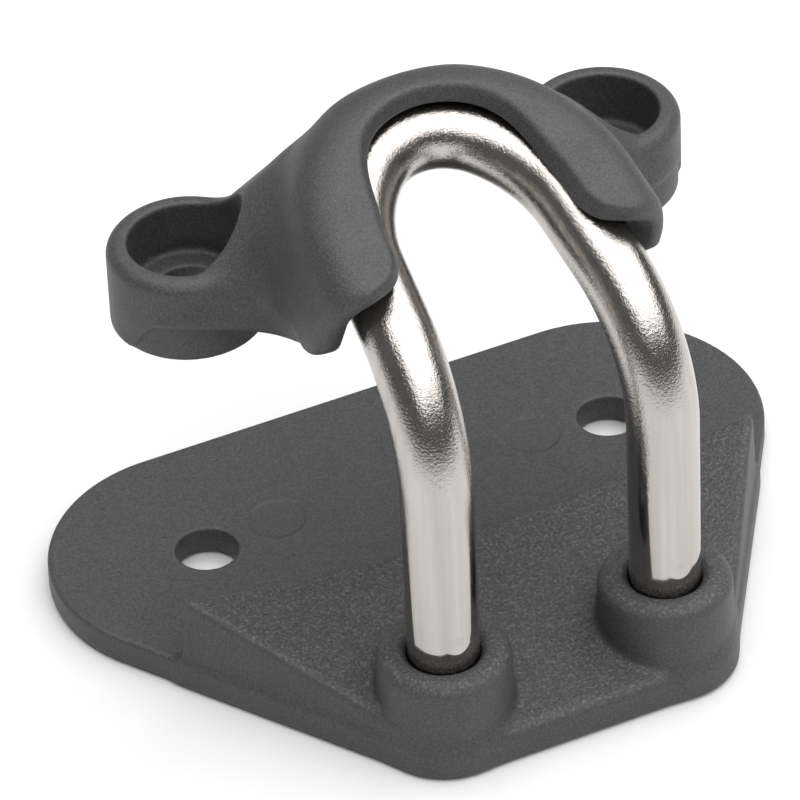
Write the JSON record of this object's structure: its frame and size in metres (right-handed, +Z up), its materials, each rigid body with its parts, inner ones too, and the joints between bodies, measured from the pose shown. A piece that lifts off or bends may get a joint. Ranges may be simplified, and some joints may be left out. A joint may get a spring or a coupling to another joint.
{
  "type": "cam cleat fairlead with wire hoop",
  "caption": "Fairlead for a cam cleat: moulded base plate with a ramp, bent rod hoop standing in two bosses, and a moulded cap with screw ears over the hoop.",
  "frame": {"origin": "midway between the two base screw holes, on the underside of the base plate", "axes": "+X along the line of screw holes, +Y away from the side where the rope enters, +Z up from the deck"},
  "size_m": [0.065, 0.0471, 0.047],
  "materials": {
    "base_moulding": "fine grained glass-filled nylon, near black",
    "cap_moulding": "fine grained glass-filled nylon, near black",
    "rod": "polished stainless steel rod"
  },
  "bodies": {
    "base": {"base_plate": "base_moulding", "hoop": "rod"},
    "cap": {"cap": "cap_moulding"}
  },
  "joints": [
    {"name": "cap_lift", "type": "slide", "parent": "base", "child": "cap", "axis": [0, 0, 1], "range_m": [0, 0.012]}
  ]
}
